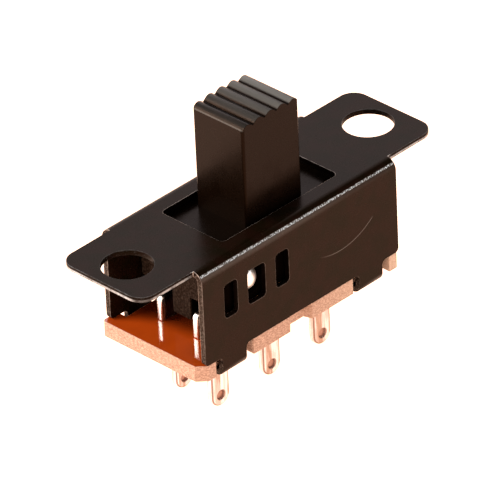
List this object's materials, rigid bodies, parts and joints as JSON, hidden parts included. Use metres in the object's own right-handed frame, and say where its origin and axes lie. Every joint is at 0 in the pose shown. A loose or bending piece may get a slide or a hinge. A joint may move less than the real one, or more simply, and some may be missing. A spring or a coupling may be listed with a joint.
{
  "type": "slide switch",
  "caption": "Panel-mounting slide switch: black steel channel with two mounting ears, ridged black knob, three detent positions, phenolic terminal board and tinned solder lugs below.",
  "frame": {"origin": "centre of the two mounting holes, on the face of the mounting plate that meets the panel", "axes": "+X along the slide and the mounting plate, +Z out of the panel along the knob, +Y across the switch"},
  "size_m": [0.035, 0.0114, 0.0257],
  "materials": {
    "frame_steel": "thin black lacquer on steel sheet, worn through at the edges",
    "board_laminate": "orange-brown phenolic paper laminate, glossy face and sawn edges",
    "terminal_tin": "bright tin plate on brass sheet",
    "slider_plastic": "semi-gloss black moulding",
    "clip_bronze": "spring bronze sheet",
    "ball_steel": "polished steel ball",
    "spring_steel": "drawn spring wire"
  },
  "bodies": {
    "housing": {"frame": "frame_steel", "terminal_board": "board_laminate", "terminal_front_left": "terminal_tin", "terminal_front_centre": "terminal_tin", "terminal_front_right": "terminal_tin", "terminal_rear_left": "terminal_tin", "terminal_rear_centre": "terminal_tin", "terminal_rear_right": "terminal_tin"},
    "carriage": {"slider": "slider_plastic", "contact_clip_front": "clip_bronze", "contact_clip_rear": "clip_bronze", "detent_spring": "spring_steel"},
    "front_ball": {"detent_ball_front": "ball_steel"}
  },
  "joints": [
    {"name": "slider_travel", "type": "slide", "parent": "housing", "child": "carriage", "axis": [1, 0, 0], "range_m": [-0.00302, 0.00302]},
    {"name": "front_ball_press", "type": "slide", "parent": "carriage", "child": "front_ball", "axis": [0, -1, 0], "range_m": [0, 0.00025], "stiffness_N_per_m": 600, "springref_m": 0.003}
  ]
}
